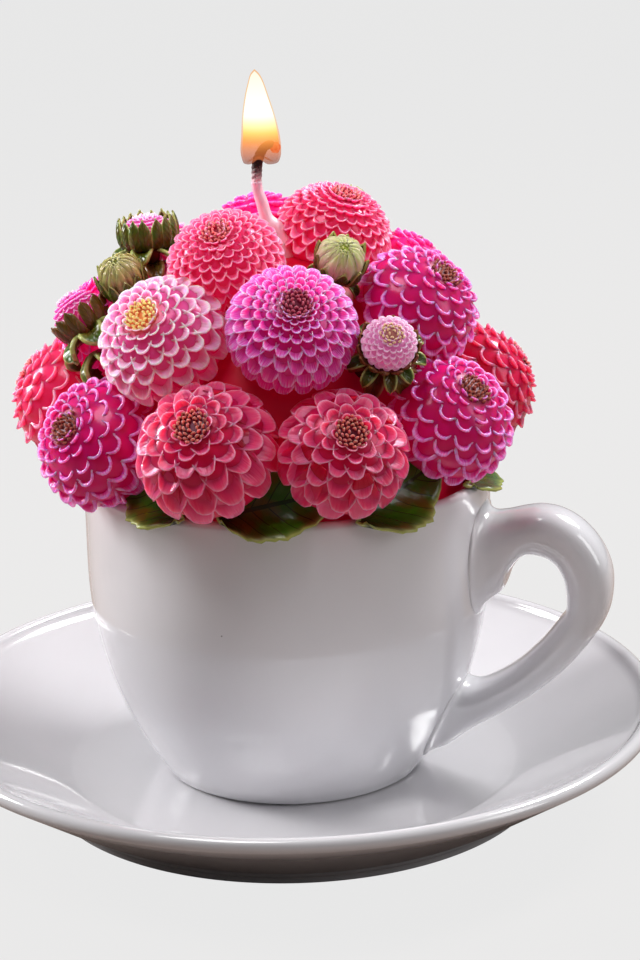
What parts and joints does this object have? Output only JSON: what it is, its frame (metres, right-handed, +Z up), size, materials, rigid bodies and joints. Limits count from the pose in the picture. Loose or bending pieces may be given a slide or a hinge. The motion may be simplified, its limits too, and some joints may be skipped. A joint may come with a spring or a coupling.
{
  "type": "teacup candle",
  "caption": "Porcelain cup and saucer holding a poured wax candle with a wick, dressed as a dome of carved wax dahlias, buds and leaves.",
  "frame": {"origin": "on the table under the middle of the saucer", "axes": "+Z up along the cup's axis, +X towards the handle"},
  "size_m": [0.1656, 0.1656, 0.161],
  "materials": {
    "porcelain": "clear glossy glaze",
    "core_wax": "poured deep red wax",
    "coral_wax": "carved coral wax, slightly glossy, pale petal edges",
    "magenta_wax": "carved magenta wax, slightly glossy, pale petal edges",
    "hot_pink_wax": "carved pink wax, slightly glossy",
    "pale_pink_wax": "carved pale pink wax, slightly glossy",
    "mauve_wax": "carved mauve wax",
    "cream_wax": "carved cream wax",
    "leaf_wax": "painted green wax with brown patches",
    "calyx_wax": "painted green and brown wax",
    "wick_cotton": "charred braided cotton",
    "tab_tin": "tinned steel",
    "flame": "burning gas, glows by itself"
  },
  "bodies": {
    "saucer": {"saucer": "porcelain"},
    "cup": {"cup": "porcelain", "wax_core": "core_wax", "wick_tab": "tab_tin", "wick": "wick_cotton", "flame": "flame", "dahlia_crown_front": "coral_wax", "dahlia_crown_right": "coral_wax", "dahlia_crown_back": "hot_pink_wax", "dahlia_upper_front": "magenta_wax", "dahlia_upper_left": "pale_pink_wax", "dahlia_upper_right": "magenta_wax", "dahlia_upper_back_right": "hot_pink_wax", "dahlia_upper_back": "coral_wax", "dahlia_upper_back_left": "pale_pink_wax", "dahlia_behind_buds": "pale_pink_wax", "dahlia_far_left": "magenta_wax", "dahlia_lower_left": "magenta_wax", "dahlia_lower_front_left": "coral_wax", "dahlia_lower_front_right": "coral_wax", "dahlia_lower_right": "magenta_wax", "dahlia_lower_handle": "coral_wax", "dahlia_lower_back_a": "pale_pink_wax", "dahlia_lower_back_b": "magenta_wax", "dahlia_lower_back_c": "coral_wax", "dahlia_lower_back_d": "magenta_wax", "dahlia_lower_far_left": "coral_wax", "bud_tall_calyx": "calyx_wax", "bud_tall_petals": "mauve_wax", "bud_closed_calyx": "calyx_wax", "bud_closed_petals": "cream_wax", "bud_left_calyx": "calyx_wax", "bud_left_petals": "mauve_wax", "bud_cream_calyx": "calyx_wax", "bud_cream_petals": "cream_wax", "bud_lilac_calyx": "calyx_wax", "bud_lilac_petals": "mauve_wax", "bud_back_calyx": "calyx_wax", "bud_back_petals": "mauve_wax", "bud_back_right_calyx": "calyx_wax", "bud_back_right_petals": "cream_wax", "leaf_front_left": "leaf_wax", "leaf_front": "leaf_wax", "leaf_front_right": "leaf_wax", "leaf_handle": "leaf_wax", "leaf_back_a": "leaf_wax", "leaf_back_b": "leaf_wax", "leaf_back_c": "leaf_wax", "leaf_back_d": "leaf_wax", "leaf_far_left": "leaf_wax"}
  },
  "joints": [
    {"name": "cup_lift", "type": "slide", "parent": "saucer", "child": "cup", "axis": [0, 0, 1], "range_m": [0, 0.08]}
  ]
}
